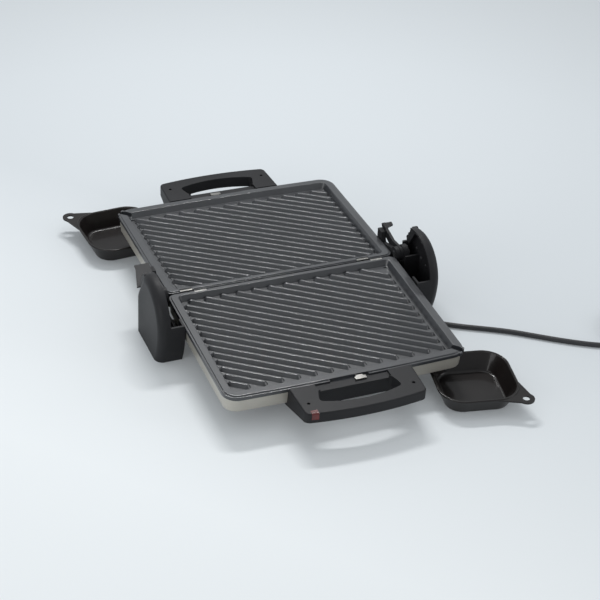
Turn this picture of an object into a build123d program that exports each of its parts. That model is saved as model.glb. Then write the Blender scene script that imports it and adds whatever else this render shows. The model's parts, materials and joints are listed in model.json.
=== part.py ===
from build123d import *
from math import asin, cos, degrees, pi, radians, sin, sqrt, tan
import os

# Contact grill lying open flat: X runs along the hinge, the base half lies towards -Y,
# the lid half towards +Y, and the table is z = 0. Sizes are in millimetres.

# Whole object
hinge_height = 60.0
hinge_back = 15.5
half_tilt = 1.47
fit_gap = 0.3

# Grill plates
plate_length = 330.0
plate_depth = 235.0
plate_bow = 3.0
plate_hinge_gap = 1.0
plate_outer_radius = 20.0
plate_hinge_radius = 10.0
rim_gap = 0.3
rim_width = 12.0
hinge_rim_width = 7.5
rim_step = 2.6
hinge_rim_step = 1.5
rim_step_drop = 1.3
rim_edge_round = 1.1
skirt_height = 5.9
plate_body_inset = 5.0
floor_depth = 7.8
plate_floor = 3.4
wall_slope = 28.0
channel_width = 5.0
channel_extra_depth = 1.0
rib_step_x = 22.5
rib_step_y = 15.47
rib_shift = 6.3
rib_width = 10.4
rib_height = 4.6
rib_slope = 37.0
rib_edge_round = 1.5
rib_root = 1.4
rib_margin_left = 20.0
rib_margin_right = 25.0
rib_margin_hinge = 16.0
rib_margin_outer = 28.0
spout_width = 15.0
spout_reach = 2.0

# Casings under the plates
casing_inset = 1.0
casing_height = 19.5
casing_slope = 4.0
casing_wall = 2.2
casing_bottom_round = 2.5
casing_flange = 16.0
dome_half_length = 102.0
dome_near = 28.0
dome_far = 214.0
dome_corner = 26.0
dome_height = 25.1
dome_slope = 32.0
dome_bottom_round = 8.0
cover_flange = 9.0
cover_flange_sheet = 1.6
cover_screw_near = 70.0
cover_screw_far = 172.0

# Heaters
heater_radius = 3.0
heater_inset_side = 40.0
heater_inset_outer = 47.0
heater_inset_hinge = 74.0
heater_tail = 20.0
heater_tail_length = 40.0
clip_half = 6.0
clip_side_y = -130.0
clip_far_x = 60.0
heater_bend = 16.0
shield_sheet = 0.8
shield_lip = 3.0

# Electrics in the base
switch_y = -115.0
thermostat_x = -45.0
thermostat_radius = 10.0
thermostat_height = 9.0
thermostat_flange_half = 15.0
fuse_x = 45.0
fuse_radius = 4.0
fuse_half_length = 10.0
strap_half = 4.0
terminal_x = 76.0
terminal_half_length = 16.0
terminal_half_width = 10.0
terminal_height = 13.0
terminal_hole_radius = 2.2
terminal_hole_x = 8.0
terminal_pitch = 6.0

# Base underside
tub_half_length = 105.0
tub_hinge_side = 44.0
tub_outer_side = 196.0
tub_floor_z = 8.5
tub_wall = 2.5
tub_corner = 14.0
bottom_plate_margin = 15.0
bottom_screw_x = 145.0
bottom_screw_near = 60.0
bottom_screw_far = 185.0
bottom_screw_head = 3.5
bottom_screw_shank = 1.7
screw_head_height = 2.0
foot_radius = 11.0
foot_x = 88.0
foot_depth = 182.0
foot_height = 16.0
lid_foot_radius = 8.0
lid_foot_x = 68.0
lid_foot_near = 62.0
lid_foot_far = 180.0
lid_foot_height = 14.0
beam_near = 20.0
beam_far = 40.0
beam_bottom = 11.0
beam_sheet = 2.0

# Bridge handles
handle_back_half = 84.0
handle_front_half = 81.5
handle_reach = 54.5
handle_bow = 6.5
handle_top_drop = 0.5
handle_end_height = 30.0
handle_front_height = 14.0
handle_under_reach = 8.0
grip_height = 16.0
grip_depth = 20.3
finger_hole_half = 50.0
finger_hole_near = 13.5
finger_hole_flare = 6.0
finger_hole_bow = 10.0
finger_hole_corner = 5.0
handle_corner = 8.0
handle_edge_round = 2.0
bridge_drop = 3.0
bridge_height = 22.0
screw_hole_x = 71.0
screw_hole_reach = 35.0
screw_hole_radius = 2.2
lamp_x = -70.0
lamp_width = 9.5
lamp_depth = 6.0
lamp_height = 9.5

# Plate latches and hinge side tabs
latch_x = 12.0
latch_width = 15.0
latch_sheet = 2.0
latch_travel = 3.5
latch_foot_reach = 5.5
latch_gap = 0.4
latch_top_drop = 1.6
latch_lift = 0.2
slot_low_x = -28.0
slot_high_x = 25.0
slot_depth = 3.5
slot_sill = 2.0
tab_width = 17.0
tab_inner_x = 110.5
tab_outer_x = 128.5
tab_depth = 4.4

# Towers beside the hinge
tower_inner_x = 165.5
tower_outer_x = 200.5
tower_wall = 3.0
tower_rear = 15.0
tower_rear_height = 70.0
shell_depth = 16.0
head_y = -24.0
head_z = 50.0
head_radius = 55.0
head_end_angle = 69.0
leg_radius = 110.0
tower_round = 11.0
tower_rear_round = 2.5
ledge_height = 60.0
ledge_depth = 19.0
inner_wall_height = 36.0
tower_pad_thickness = 1.2
tower_pad_half_width = 10.0
tower_pad_half_depth = 7.0
tower_pad_front = -45.0
tower_pad_rear = 2.0
tower_clear = 200.0
beam_screw_low = 16.0
beam_screw_high = 25.0
beam_screw_head = 4.0
beam_screw_shank = 2.0
tooth_count = 4
tooth_size = 3.2
ratchet_sheet = 7.5

# Floating hinge carriages, pins, rest arms and lid arms
float_travel = 20.0
pin_radius = 5.0
pin_bore = 3.0
running_gap = 0.05
carriage_half = 11.7
shoe_bottom = 24.0
shoe_height = 15.0
carriage_head_radius = 12.0
arm_sheet = 6.0
arm_boss_radius = 10.0
arm_length = 56.5
arm_lug = 12.5
arm_lug_rise = 10.5
arm_screw_near = 20.0
arm_screw_far = 42.0
arm_screw_rise = 9.0
arm_screw_head = 3.6
arm_screw_shank = 1.8
arm_screw_length = 10.5
arm_screw_boss = 6.0
rest_arm_sheet = 4.0
rest_arm_reach = 60.0
rest_arm_rise = 16.0
rest_arm_flange = {"left": 16.0, "right": 9.5}
rest_arm_spread = {"left": 23.5, "right": 0.0}
rest_arm_web = {"left": 38.0, "right": 9.0}
rest_arm_flange_edge = 6.0
rest_arm_flange_sheet = 2.5

# Drip pans
pan_width = 108.0
pan_corner = 33.0
pan_height = 25.0
pan_slope = 26.0
pan_wall = 2.0
pan_tab_hole_reach = 76.7
pan_tab_hole_radius = 4.75
pan_tab_end_radius = 11.0
pan_tab_root = 30.0
front_pan_x = 168.5
front_pan_y = -249.5
front_pan_turn = -10.5
rear_pan_x = -161.0
rear_pan_y = 231.0
rear_pan_turn = 184.0

# Mains cord
cord_diameter = 7.0
gland_y = -82.0
gland_z = 15.0
gland_length = 26.0
coil_outer_radius = 44.0
coil_pitch = 8.0
coil_half_turns_in = 2.0
coil_tail = 19.0
tie_gap = 0.5
tie_sheet = 1.5
tie_width = 8.0
plug_width = 36.0
plug_height = 23.0
plug_body_length = 36.0
plug_neck_length = 22.0
plug_pin_radius = 2.4
plug_pin_length = 19.0
plug_pin_spacing = 19.0
plug_pin_root_radius = 1.6
plug_pin_root_length = 8.0

# Heights and places worked out from the sizes above, in a level half of the grill
rim_top = hinge_height - rim_gap
skirt_bottom = rim_top - skirt_height
floor_top = rim_top - floor_depth
plate_underside = floor_top - plate_floor
casing_top = skirt_bottom
casing_bottom = casing_top - casing_height
half_length = plate_length / 2
outer_edge = plate_hinge_gap + plate_depth
heater_z = plate_underside - 0.2 - heater_radius
shield_z = casing_bottom + 2.2
dome_bottom = casing_bottom - dome_height
handle_top = rim_top - handle_top_drop
handle_back = outer_edge - casing_inset
handle_front = handle_back + handle_reach
bridge_top = handle_top - bridge_drop
carriage_x = tower_inner_x + 0.1 + arm_sheet + 0.7
shoe_outer_x = tower_outer_x - tower_wall - 0.5
shell_x = tower_outer_x - shell_depth
head_inner_x = carriage_x + rest_arm_sheet + 0.2
head_outer_x = shell_x - 0.6
pan_low_width = pan_width - 2 * pan_height * tan(radians(pan_slope))
cord_radius = cord_diameter / 2
hinge_line = Axis((0, 0, hinge_height), (1, 0, 0))
up_line = Axis((0, 0, 0), (0, 0, 1))

os.makedirs("parts", exist_ok=True)


def lower(shape):
    """Place a level half as the base half, which falls away from the hinge."""
    return shape.rotate(hinge_line, half_tilt)


def upper(shape):
    """Place a level half as the lid half, lying open behind the hinge."""
    return lower(shape).rotate(up_line, 180)


def save(name, shape):
    """Write one piece, moved so that the opened grill stands on the middle of its foot."""
    solids = shape.moved(Location((0, hinge_back, 0))).solids()
    export_step(solids[0] if len(solids) == 1 else Compound(solids), f"parts/{name}.step")


def block(x_low, x_high, y_low, y_high, z_low, z_high):
    """Box between two corners."""
    size = Box(x_high - x_low, y_high - y_low, z_high - z_low)
    return Pos((x_low + x_high) / 2, (y_low + y_high) / 2, (z_low + z_high) / 2) * size


def rod(radius, start, end):
    """Round bar between two points on one line along X or Z."""
    start = Vector(*start)
    end = Vector(*end)
    plane = Plane(origin=start, z_dir=end - start)
    return extrude(plane * Circle(radius), (end - start).length)


def panel(inset, hinge_inset, outer_radius, hinge_radius):
    """Outline of a half with a bowed outer side, drawn in by its insets."""
    half = half_length - inset
    near = -plate_hinge_gap - hinge_inset
    far = -outer_edge + plate_bow + inset
    face = make_face([
        Line((-half, near), (-half, far)),
        ThreePointArc((-half, far), (0, -outer_edge + inset), (half, far)),
        Line((half, far), (half, near)),
        Line((half, near), (-half, near)),
    ])
    face = fillet(face.vertices().sort_by(Axis.Y)[:2], outer_radius)
    return fillet(face.vertices().sort_by(Axis.Y)[-2:], hinge_radius)


def slab(inset, z_low, z_high, slope=0.0, hinge_inset=None):
    """Raised panel of a half, which widens upwards when its slope is negative."""
    if hinge_inset is None:
        hinge_inset = inset
    outer = max(plate_outer_radius - inset, 2.0)
    near = max(plate_hinge_radius - hinge_inset, 2.0)
    return extrude(Pos(0, 0, z_low) * panel(inset, hinge_inset, outer, near), z_high - z_low, taper=slope)


def ribs():
    """Slanting ribs of a plate, each a broad tapered bar with round ends and a rounded crest."""
    x_low = -half_length + rib_margin_left
    x_high = half_length - rib_margin_right
    near = plate_hinge_gap + rib_margin_hinge
    far = outer_edge - rib_margin_outer
    rise = (far - near) / rib_step_y
    root_width = rib_width + 2 * rib_root * tan(radians(rib_slope))
    first = int((x_low - rib_shift) / rib_step_x)
    last = int((x_high - rib_shift + rib_step_x * rise) / rib_step_x)
    bars = []
    for k in range(first, last + 1):
        x = rib_step_x * k + rib_shift
        start = max(0.0, (x - x_high) / rib_step_x)
        end = min(rise, (x - x_low) / rib_step_x)
        if end - start < 0.5:
            continue
        middle = (start + end) / 2
        length = (end - start) * sqrt(rib_step_x**2 + rib_step_y**2)
        turn = -degrees(asin(rib_step_y / sqrt(rib_step_x**2 + rib_step_y**2)))
        place = Pos(x - rib_step_x * middle, -far + rib_step_y * middle, floor_top - rib_root)
        outline = place * Rot(0, 0, turn) * SlotCenterToCenter(length, root_width)
        bar = extrude(outline, rib_height + rib_root, taper=rib_slope)
        bars.append(fillet(bar.edges().group_by(Axis.Z)[-1], rib_edge_round))
    return bars


def spout():
    """Lip and trough at the outer corner of the drain channel."""
    reach = plate_outer_radius * (sqrt(2) - 1)
    corner_y = -outer_edge + plate_bow + reach / sqrt(2)
    corner = Pos(half_length - reach / sqrt(2), corner_y) * Rot(0, 0, -45)
    lip = corner * block(-9, spout_reach, -spout_width / 2, spout_width / 2, skirt_bottom, rim_top - 1)
    lip = fillet(lip.edges().filter_by(Axis.Z).sort_by(Axis.X)[-2:], 3.0)
    trough = corner * block(
        -15, spout_reach - 2, -spout_width / 2 + 3, spout_width / 2 - 3, skirt_bottom + 1, rim_top + 1
    )
    mouth = corner * block(
        spout_reach - 3, spout_reach + 2, -spout_width / 2 + 5, spout_width / 2 - 5, skirt_bottom + 1, rim_top + 1
    )
    return lip, trough, mouth


def tab_places():
    """X ranges of the two hinge side tabs of a half."""
    return [(-tab_inner_x - tab_width, -tab_inner_x), (tab_outer_x, tab_outer_x + tab_width)]


def grill_plate():
    """Cast plate with rim, sloping sides, ribs, drain channel and spout."""
    step_top = rim_top - rim_step_drop
    frame = slab(0, skirt_bottom, step_top)
    frame = fillet(frame.edges().group_by(Axis.Z)[-1], rim_edge_round * 0.7)
    rise = tan(radians(wall_slope)) * floor_depth
    plate = frame + slab(plate_body_inset, plate_underside, skirt_bottom)
    plate += slab(rim_step, step_top, rim_top, hinge_inset=hinge_rim_step)
    plate -= slab(rim_width + rise, floor_top, rim_top, -wall_slope, hinge_rim_width + rise)
    plate = fillet(plate.edges().group_by(Axis.Z)[-1], rim_edge_round)
    lip, trough, mouth = spout()
    plate += lip
    channel_high = half_length - rim_width - rise - 0.5
    plate -= block(
        channel_high - channel_width, channel_high, -outer_edge + plate_bow + rim_width + rise + 3,
        -plate_hinge_gap - hinge_rim_width - rise - 3, floor_top - channel_extra_depth, rim_top,
    )
    plate -= trough
    plate -= mouth
    for low, high in tab_places():
        plate -= block(
            low - fit_gap, high + fit_gap, -plate_hinge_gap - plate_body_inset, 0, skirt_bottom, rim_top + 1
        )
    plate -= block(
        slot_low_x, slot_high_x, -outer_edge - 1, -outer_edge + slot_depth, skirt_bottom + slot_sill, rim_top + 1
    )
    return plate + ribs()


def casing(covered):
    """Side wall and turned-in flange of a half; the lid's flange reaches inwards as far as its cover."""
    drop = tan(radians(casing_slope)) * casing_height
    outer = slab(casing_inset + drop, casing_bottom, casing_top, -casing_slope)
    outer = fillet(outer.edges().group_by(Axis.Z)[0], casing_bottom_round)
    inner = slab(casing_inset + drop + casing_wall, casing_bottom + casing_wall, casing_top, -casing_slope)
    opening = casing_inset + drop + casing_flange
    shell = outer - inner
    if not covered:
        return shell - slab(opening, casing_bottom - 1, casing_top)
    return shell - bulge(casing_wall, dome_bottom + casing_wall, casing_bottom + casing_wall)


def cover():
    """Bulging cover of the lid, with a flange that lies against the casing."""
    dome = fillet(bulge(0, dome_bottom, casing_bottom).edges().group_by(Axis.Z)[0], dome_bottom_round)
    width = 2 * (dome_half_length + cover_flange)
    depth = dome_far - dome_near + 2 * cover_flange
    outline = RectangleRounded(width, depth, dome_corner + cover_flange)
    place = Pos(0, -(dome_near + dome_far) / 2, casing_bottom - cover_flange_sheet)
    dome += extrude(place * outline, cover_flange_sheet)
    return dome - bulge(casing_wall, dome_bottom + casing_wall, casing_bottom + 1)


def cover_screws():
    """Four screws that hold the cover to the lid's casing."""
    screws = []
    low = casing_bottom - cover_flange_sheet
    for x in (-dome_half_length - cover_flange / 2, dome_half_length + cover_flange / 2):
        for y in (-cover_screw_near, -cover_screw_far):
            head = rod(bottom_screw_head, (x, y, low - screw_head_height), (x, y, low))
            screws.append(head + rod(bottom_screw_shank, (x, y, low), (x, y, casing_bottom + casing_wall)))
    return Compound(children=screws)


def bulge(inset, z_low, z_high):
    """Block with sloping sides that bulges from the lid casing between two heights."""
    drop = tan(radians(dome_slope)) * (casing_bottom - z_low) + inset
    width = 2 * (dome_half_length - drop)
    depth = dome_far - dome_near - 2 * drop
    corner = max(dome_corner - drop, 4.0)
    face = Pos(0, -(dome_near + dome_far) / 2, z_low) * RectangleRounded(width, depth, corner)
    return extrude(face, z_high - z_low, taper=-dome_slope)


def casing_block():
    """Casing without its hollow, for what is fitted against its outside."""
    drop = tan(radians(casing_slope)) * casing_height
    outer = slab(casing_inset + drop, casing_bottom, casing_top, -casing_slope)
    return fillet(outer.edges().group_by(Axis.Z)[0], casing_bottom_round)


def heat_shield():
    """Shallow steel tray that lies on the casing's flange under the heater."""
    drop = tan(radians(casing_slope)) * (casing_height - casing_wall)
    inset = casing_inset + drop + casing_wall + fit_gap
    tray = slab(inset, shield_z, shield_z + shield_lip)
    return tray - slab(inset + shield_sheet, shield_z + shield_sheet, shield_z + shield_lip)


def heating_element():
    """Tubular heater bent into one loop, with both ends towards the hinge."""
    side = half_length - heater_inset_side
    far = -outer_edge + heater_inset_outer
    near = -heater_inset_hinge
    points = [
        (-heater_tail, near + heater_tail_length, heater_z),
        (-heater_tail, near, heater_z),
        (-side, near, heater_z),
        (-side, far, heater_z),
        (side, far, heater_z),
        (side, near, heater_z),
        (heater_tail, near, heater_z),
        (heater_tail, near + heater_tail_length, heater_z),
    ]
    path = FilletPolyline(*points, radius=heater_bend)
    section = Plane(origin=path @ 0, z_dir=path % 0) * Circle(heater_radius)
    return sweep(section, path=path)


def element_clips(element):
    """Four saddles that hold the heater on its shield."""
    side = half_length - heater_inset_side
    far = -outer_edge + heater_inset_outer
    places = [(-side, clip_side_y), (side, clip_side_y), (-clip_far_x, far), (clip_far_x, far)]
    saddles = []
    for x, y in places:
        saddle = block(
            x - clip_half, x + clip_half, y - clip_half, y + clip_half, shield_z + shield_sheet, heater_z + 1
        )
        saddles.append(saddle - element)
    return Compound(children=saddles)


def handle_outline(depth_back):
    """Top outline of a bridge handle, from behind its casing's wall to the bowed grip."""
    back = -handle_back + depth_back
    front = -handle_front
    left = Line((-handle_back_half, back), (-handle_front_half, front))
    bow = ThreePointArc((-handle_front_half, front), (0, front - handle_bow), (handle_front_half, front))
    right = Line((handle_front_half, front), (handle_back_half, back))
    closing = Line((handle_back_half, back), (-handle_back_half, back))
    face = make_face([left, bow, right, closing])
    return fillet(face.vertices().sort_by(Axis.Y)[:2], handle_corner)


def finger_hole():
    """Outline of the gap that the fingers go through."""
    back = -handle_back - finger_hole_near
    front = -handle_front + grip_depth
    front_half = finger_hole_half + finger_hole_flare
    left = Line((-finger_hole_half, back), (-front_half, front))
    bow = ThreePointArc((-front_half, front), (0, front - finger_hole_bow), (front_half, front))
    right = Line((front_half, front), (finger_hole_half, back))
    closing = Line((finger_hole_half, back), (-finger_hole_half, back))
    return fillet(make_face([left, bow, right, closing]).vertices(), finger_hole_corner)


def bridge_handle():
    """Bridge handle: two end blocks that rise towards a shallow bowed grip, and a low bridge behind it."""
    low = handle_top - handle_end_height
    handle = extrude(Pos(0, 0, low) * handle_outline(handle_under_reach), handle_end_height)
    front_low = handle_top - handle_front_height
    wedge = Polyline(
        (-handle_back + handle_under_reach, low), (-handle_front, front_low),
        (-handle_front - 20, front_low), (-handle_front - 20, low - 1),
        (-handle_back + handle_under_reach, low - 1), close=True,
    )
    half_width = handle_back_half + 5
    handle -= extrude(Plane.YZ.offset(-half_width) * make_face(wedge), 2 * half_width)
    top_edges = handle.edges().group_by(Axis.Z)[-1].sort_by(Axis.Y)[:-1]
    handle = fillet(top_edges, handle_edge_round)
    handle -= extrude(
        Pos(0, 0, handle_top - handle_end_height - 1) * finger_hole(), handle_end_height + 2
    )
    under = block(
        -finger_hole_half - 10, finger_hole_half + 10, -handle_front - handle_bow - 5,
        -handle_back - finger_hole_near, handle_top - handle_end_height - 1, handle_top - grip_height,
    )
    handle -= fillet(under.edges().filter_by(Axis.Y).group_by(Axis.Z)[-1], finger_hole_corner)
    handle -= block(
        -finger_hole_half, finger_hole_half, -handle_back - finger_hole_near - 0.01,
        0, bridge_top, handle_top + 1,
    )
    handle -= block(
        -finger_hole_half, finger_hole_half, -handle_back - finger_hole_near - 0.01,
        0, handle_top - handle_end_height - 1, bridge_top - bridge_height,
    )
    for x in (-screw_hole_x, screw_hole_x):
        y = -handle_back - screw_hole_reach
        handle -= rod(screw_hole_radius, (x, y, handle_top - 14), (x, y, handle_top + 1))
    handle -= casing_block()
    handle -= slab(-fit_gap, skirt_bottom - 0.01, rim_top + 1)
    return handle.solids().sort_by(SortBy.VOLUME)[-1]


def handle_screws():
    """Two screws sunk in a handle's top."""
    screws = []
    for x in (-screw_hole_x, screw_hole_x):
        y = -handle_back - screw_hole_reach
        stem = rod(screw_hole_radius - fit_gap, (x, y, handle_top - 14), (x, y, handle_top - 3))
        slot = block(x - 2, x + 2, y - 0.4, y + 0.4, handle_top - 3.8, handle_top - 3)
        screws.append(stem - slot)
    return Compound(children=screws)


def lamp_pocket(gap):
    """Space of the indicator lens in the base handle's front corner."""
    low = lamp_x - lamp_width / 2 + gap
    high = lamp_x + lamp_width / 2 - gap
    back = -handle_front + lamp_depth - gap
    return block(low, high, -handle_front - 10, back, handle_top - lamp_height + gap, handle_top + 1)


def latch():
    """Sprung catch: thumb tab, upright and a nose that reaches into the plate's slot."""
    low = latch_x - latch_width / 2
    high = latch_x + latch_width / 2
    face = -outer_edge - latch_gap
    bottom = bridge_top + latch_lift
    top = rim_top - latch_top_drop
    foot = block(low, high, face - latch_foot_reach, face, bottom, bottom + latch_sheet)
    upright = block(low, high, face - latch_sheet, face, bottom, top)
    nose_end = -outer_edge + slot_depth - 0.6
    nose = block(low + 3, high - 3, face - latch_sheet, nose_end, bottom, top)
    return foot + upright + nose


def plate_tabs():
    """Two spring tabs that locate a plate at the hinge side."""
    tabs = []
    for low, high in tab_places():
        y_low = -plate_hinge_gap - plate_body_inset + 0.4
        tab = block(low, high, y_low, y_low + tab_depth, skirt_bottom, rim_top - 0.4)
        tab = fillet(tab.edges().filter_by(Axis.X).group_by(Axis.Z)[-1], 1.2)
        tabs.append(tab)
    return Compound(children=tabs)


def base_bottom_solid():
    """Black underside of the base: a flat frame with a tub for the wiring."""
    z_top = casing_bottom
    frame_low = z_top - tub_wall
    plate = slab(bottom_plate_margin, frame_low, z_top)
    tub = block(-tub_half_length, tub_half_length, -tub_outer_side, -tub_hinge_side, tub_floor_z, z_top)
    tub = fillet(tub.edges().filter_by(Axis.Z), tub_corner)
    tub = fillet(tub.edges().group_by(Axis.Z)[0], 6.0)
    room = block(
        -tub_half_length + tub_wall, tub_half_length - tub_wall, -tub_outer_side + tub_wall,
        -tub_hinge_side - tub_wall, tub_floor_z + tub_wall, z_top + 1,
    )
    return plate + tub - fillet(room.edges().filter_by(Axis.Z), tub_corner - tub_wall)


def bottom_screws():
    """Four screws that hold the underside to the casing."""
    screws = []
    for x in (-bottom_screw_x, bottom_screw_x):
        for y in (-bottom_screw_near, -bottom_screw_far):
            head_top = casing_bottom - tub_wall
            shank_top = casing_bottom + casing_wall
            head = rod(bottom_screw_head, (x, y, head_top - screw_head_height), (x, y, head_top))
            screws.append(head + rod(bottom_screw_shank, (x, y, head_top), (x, y, shank_top)))
    return Compound(children=screws)


def thermostat():
    """Round thermostat with its mounting flange, held against the shield from below."""
    can = rod(thermostat_radius, (thermostat_x, switch_y, shield_z - thermostat_height),
              (thermostat_x, switch_y, shield_z))
    return can + block(
        thermostat_x - thermostat_flange_half, thermostat_x + thermostat_flange_half,
        switch_y - strap_half, switch_y + strap_half, shield_z - 1, shield_z,
    )


def thermal_fuse():
    """Small round fuse under a strap on the shield."""
    z = shield_z - fuse_radius
    fuse = rod(fuse_radius, (fuse_x - fuse_half_length, switch_y, z), (fuse_x + fuse_half_length, switch_y, z))
    return fuse + block(
        fuse_x - fuse_half_length / 2, fuse_x + fuse_half_length / 2,
        switch_y - strap_half / 2, switch_y + strap_half / 2, z, shield_z,
    )


def terminal_block():
    """Three-way terminal block on the tub's floor, where the mains cord ends."""
    floor = tub_floor_z + tub_wall
    strip = block(
        terminal_x - terminal_half_length, terminal_x + terminal_half_length,
        switch_y - terminal_half_width, switch_y + terminal_half_width, floor, floor + terminal_height,
    )
    for side in (-1, 1):
        for k in (-1, 0, 1):
            x = terminal_x + side * terminal_hole_x
            y = switch_y + k * terminal_pitch
            strip -= rod(terminal_hole_radius, (x, y, floor + 6), (x, y, floor + terminal_height + 1))
    return strip


def tower_profile(inset):
    """Side outline of a tower: rear edge, toothed slope, round head and leaning front."""
    rear = tower_rear - inset
    floor = inset
    radius = head_radius - inset
    leg = leg_radius - inset
    leg_y = head_y - head_radius + leg_radius
    end = radians(head_end_angle)
    top = (head_y + radius * cos(end), head_z + radius * sin(end))
    middle_angle = radians((head_end_angle + 180) / 2)
    middle = (head_y + radius * cos(middle_angle), head_z + radius * sin(middle_angle))
    front = (head_y - radius, head_z)
    foot = (leg_y - sqrt(leg**2 - (head_z - floor) ** 2), floor)
    half_way = (leg_y - sqrt(leg**2 - ((head_z - floor) / 2) ** 2), head_z - (head_z - floor) / 2)
    lines = [
        Line((rear, floor), (rear, tower_rear_height)),
        Line((rear, tower_rear_height), top),
        ThreePointArc(top, middle, front),
        ThreePointArc(front, half_way, foot),
        Line(foot, (rear, floor)),
    ]
    return make_face(lines)


def toothed_slope():
    """Start and end of the tower's toothed slope, as (y, z)."""
    end = radians(head_end_angle)
    return (tower_rear, tower_rear_height), (
        head_y + head_radius * cos(end), head_z + head_radius * sin(end)
    )


def tower_body(profile_inset, x_low, x_high, rounding, rear_rounding):
    """Tower outline pushed out along X, with its outer edge rounded."""
    body = extrude(Plane.YZ.offset(x_low) * tower_profile(profile_inset), x_high - x_low)
    outer = body.faces().sort_by(Axis.X)[-1].edges()
    rear = outer.sort_by(Axis.Y)[-1]
    bottom = outer.sort_by(Axis.Z)[0]
    rounded = [e for e in outer if e.center() != rear.center() and e.center() != bottom.center()]
    body = fillet(rounded, rounding)
    rear = body.faces().sort_by(Axis.X)[-1].edges().sort_by(Axis.Y)[-1]
    return fillet([rear], rear_rounding)


def right_tower_solid():
    """Moulded tower: deep foot, thin shell above it, guide for the hinge carriage."""
    tower = tower_body(0, tower_inner_x, tower_outer_x, tower_round, tower_rear_round)
    ledge_back = head_y - head_radius + ledge_depth
    tower -= block(tower_inner_x - 1, shell_x, ledge_back, tower_rear + 1, inner_wall_height, tower_clear)
    tower -= block(tower_inner_x - 1, shell_x, -tower_clear, ledge_back, ledge_height, tower_clear)
    room = tower_body(
        tower_wall, tower_inner_x + tower_wall, tower_outer_x - tower_wall, tower_round - tower_wall, 1.0
    )
    tower -= room
    (rear_y, rear_z), (top_y, top_z) = toothed_slope()
    gap = Polyline(
        (rear_y + 1, rear_z), (top_y + 1, top_z + 1), (top_y - 5, top_z - 6), (rear_y - 6, rear_z - 1),
        close=True,
    )
    tower -= extrude(Plane.YZ.offset(shell_x - 1) * make_face(gap), shell_depth - tower_wall + 1)
    guide_y = -carriage_half - fit_gap
    tower += block(
        head_inner_x, tower_outer_x - tower_wall + 0.5, guide_y - tower_wall, guide_y, tower_wall - 0.5,
        shoe_bottom + shoe_height + float_travel + 3,
    )
    tower += block(
        head_inner_x, tower_outer_x - tower_wall + 0.5, guide_y - 0.5, tower_rear - tower_wall + 0.5,
        tower_wall - 0.5, shoe_bottom,
    )
    return tower


def ratchet_plate():
    """Toothed plate on the tower's rear slope that holds the raised hinge."""
    (rear_y, rear_z), (top_y, top_z) = toothed_slope()
    run = Vector(top_y - rear_y, top_z - rear_z)
    along = run.normalized()
    out = Vector(along.Y, -along.X)
    start = Vector(rear_y, rear_z) + along * 2.5
    pitch = (run.length - 5) / tooth_count
    points = []
    for k in range(tooth_count):
        root = start + along * (pitch * k)
        points.append(root)
        points.append(root + along * (pitch * 0.35) + out * tooth_size)
        points.append(root + along * (pitch * 0.8) + out * tooth_size)
    points.append(start + along * (pitch * tooth_count))
    points.append(start + along * (pitch * tooth_count) - out * 8)
    points.append(start - out * 8)
    face = make_face(Polyline(*[(p.X, p.Y) for p in points], close=True))
    high_x = tower_outer_x - tower_wall
    return extrude(Plane.YZ.offset(high_x - ratchet_sheet) * face, ratchet_sheet)


def tower_pads():
    """Four thin rubber pads let into the feet of the towers."""
    pads = []
    for side in (-1, 1):
        x = side * (tower_inner_x + tower_outer_x) / 2
        for y in (tower_pad_front, tower_pad_rear):
            pads.append(block(
                x - tower_pad_half_width, x + tower_pad_half_width,
                y - tower_pad_half_depth, y + tower_pad_half_depth, 0, tower_pad_thickness,
            ))
    return pads


def cross_beam(bottom):
    """Steel channel that joins both towers under the base."""
    beam = block(
        -tower_inner_x, tower_inner_x, -beam_far, -beam_near, beam_bottom, casing_bottom - tub_wall
    )
    beam -= block(
        -tower_inner_x + beam_sheet, tower_inner_x - beam_sheet, -beam_far + beam_sheet,
        -beam_near - beam_sheet, beam_bottom - 1, casing_bottom - tub_wall - 1 - beam_sheet,
    )
    return beam - bottom


def beam_screws():
    """Screws through the inner wall of each tower into the beam's ends."""
    y = -(beam_near + beam_far) / 2
    screws = []
    for side in (-1, 1):
        for z in (beam_screw_low, beam_screw_high):
            wall_x = tower_inner_x + tower_wall
            head_end = wall_x + screw_head_height
            shank_end = tower_inner_x - 6
            head = rod(beam_screw_head, (side * wall_x, y, z), (side * head_end, y, z))
            shank = rod(beam_screw_shank, (side * shank_end, y, z), (side * wall_x, y, z))
            screws.append(head + shank)
    return screws


def right_carriage():
    """Block that slides in the tower and carries the hinge pin."""
    shoe = block(
        head_inner_x, shoe_outer_x, -carriage_half, carriage_half, shoe_bottom, shoe_bottom + shoe_height
    )
    shoe = fillet(shoe.edges().filter_by(Axis.X), 1.5)
    neck = block(
        head_inner_x, head_outer_x, -carriage_half, carriage_half, shoe_bottom + shoe_height - 2, hinge_height
    )
    head = rod(carriage_head_radius - 0.3, (head_inner_x, 0, hinge_height), (head_outer_x, 0, hinge_height))
    bore = rod(pin_radius, (head_inner_x - 1, 0, hinge_height), (head_outer_x + 1, 0, hinge_height))
    return shoe + neck + head - bore


def right_pin():
    """Hollow hinge pin with a flat head, wide enough for the lid's lead."""
    inner = tower_inner_x + 0.3
    outer = head_outer_x + 2
    pin = rod(pin_radius, (inner, 0, hinge_height), (outer, 0, hinge_height))
    pin += rod(pin_radius + 2.5, (head_outer_x, 0, hinge_height), (outer, 0, hinge_height))
    return pin - rod(pin_bore, (inner - 1, 0, hinge_height), (outer + 1, 0, hinge_height))


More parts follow.
